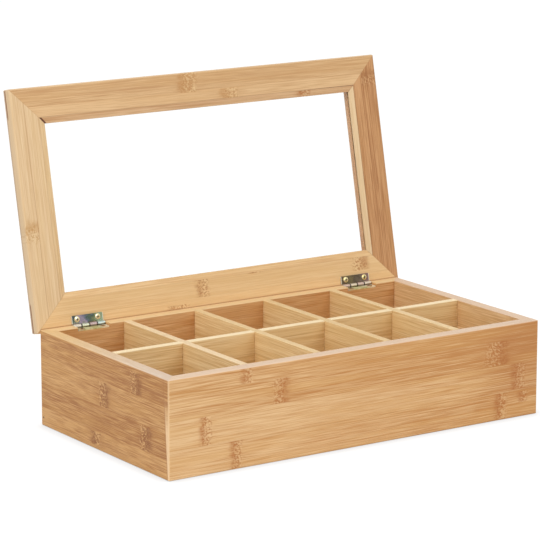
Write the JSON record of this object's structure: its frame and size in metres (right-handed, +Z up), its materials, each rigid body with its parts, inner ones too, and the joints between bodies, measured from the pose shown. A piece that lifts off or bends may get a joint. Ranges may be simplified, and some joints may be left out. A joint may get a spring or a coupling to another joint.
{
  "type": "tea bag organizer box",
  "caption": "Low oblong bamboo tea box with an egg-crate of dividers and a framed, windowed lid on butt hinges, shown open.",
  "frame": {"origin": "middle of the box's underside", "axes": "+X along the box's length to its right, +Y to the back where the hinges are, +Z up"},
  "size_m": [0.365, 0.2488, 0.2723],
  "materials": {
    "bamboo_front": "satin",
    "bamboo_walls": "satin",
    "bamboo_bottom": "satin",
    "bamboo_dividers": "satin",
    "bamboo_lid": "satin",
    "bamboo_lid_dark": "satin",
    "bamboo_lid_light": "satin",
    "bamboo_beads": "satin",
    "clear_pane": "clear",
    "hinge_plate": "yellow chromate over zinc plating",
    "hinge_pin": "yellow chromate over zinc plating",
    "screws": "yellow chromate over zinc plating"
  },
  "bodies": {
    "box": {"front_panel": "bamboo_front", "right_panel": "bamboo_walls", "back_panel": "bamboo_walls", "left_panel": "bamboo_walls", "bottom_panel": "bamboo_bottom", "long_divider": "bamboo_dividers", "cross_divider_1": "bamboo_dividers", "cross_divider_2": "bamboo_dividers", "cross_divider_3": "bamboo_dividers", "cross_divider_4": "bamboo_dividers", "left_hinge_box_leaf": "hinge_plate", "right_hinge_box_leaf": "hinge_plate", "left_hinge_pin": "hinge_pin", "right_hinge_pin": "hinge_pin", "left_hinge_box_screws": "screws", "right_hinge_box_screws": "screws"},
    "lid": {"lid_front_rail": "bamboo_lid", "lid_right_rail": "bamboo_lid_dark", "lid_back_rail": "bamboo_lid", "lid_left_rail": "bamboo_lid_light", "window_pane": "clear_pane", "front_bead": "bamboo_beads", "right_bead": "bamboo_beads", "back_bead": "bamboo_beads", "left_bead": "bamboo_beads", "left_hinge_lid_leaf": "hinge_plate", "right_hinge_lid_leaf": "hinge_plate", "left_hinge_lid_screws": "screws", "right_hinge_lid_screws": "screws"}
  },
  "joints": [
    {"name": "lid_hinge", "type": "hinge", "parent": "box", "child": "lid", "pos_m": [0, 0.09707, 0.0789], "axis": [1, 0, 0], "range_deg": [0, 102.27]}
  ]
}
